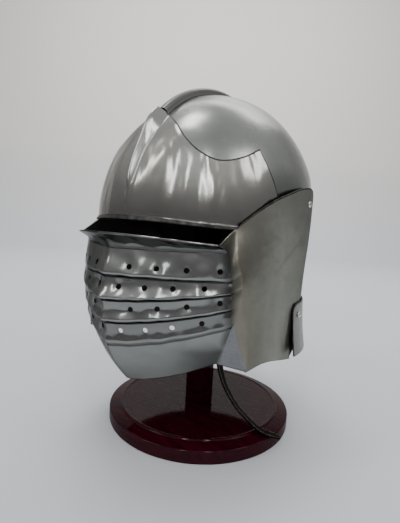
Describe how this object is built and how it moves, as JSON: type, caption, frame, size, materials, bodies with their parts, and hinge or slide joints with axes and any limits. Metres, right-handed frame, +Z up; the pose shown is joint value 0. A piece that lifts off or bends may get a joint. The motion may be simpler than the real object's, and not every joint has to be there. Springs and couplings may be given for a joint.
{
  "type": "medieval helmet on a display stand",
  "caption": "Steel knight's helmet with a low comb, a pointed brow plate and a ridged, pierced face plate that swings up on temple rivets, held on the post of a round lacquered wooden stand.",
  "frame": {"origin": "centre of the stand base's underside, where it rests on a table", "axes": "+Z up, the face looks along -Y and the wearer's left is +X"},
  "size_m": [0.2139, 0.2694, 0.3563],
  "materials": {
    "plate_steel": "polished",
    "rivet_steel": "polished",
    "strap_leather": "satin",
    "stand_wood": "gloss lacquer"
  },
  "bodies": {
    "helmet_and_stand": {"skull": "plate_steel", "brow_plate": "plate_steel", "neck_plate": "plate_steel", "pivot_rivet_left": "rivet_steel", "pivot_rivet_right": "rivet_steel", "neck_rivet_left": "rivet_steel", "neck_rivet_right": "rivet_steel", "chin_strap": "strap_leather", "stand_base": "stand_wood", "stand_post": "stand_wood"},
    "face": {"face_plate": "plate_steel"}
  },
  "joints": [
    {"name": "face_plate_hinge", "type": "hinge", "parent": "helmet_and_stand", "child": "face", "pos_m": [0, 0.0215, 0.2405], "axis": [-1, 0, 0], "range_deg": [0, 70]}
  ]
}
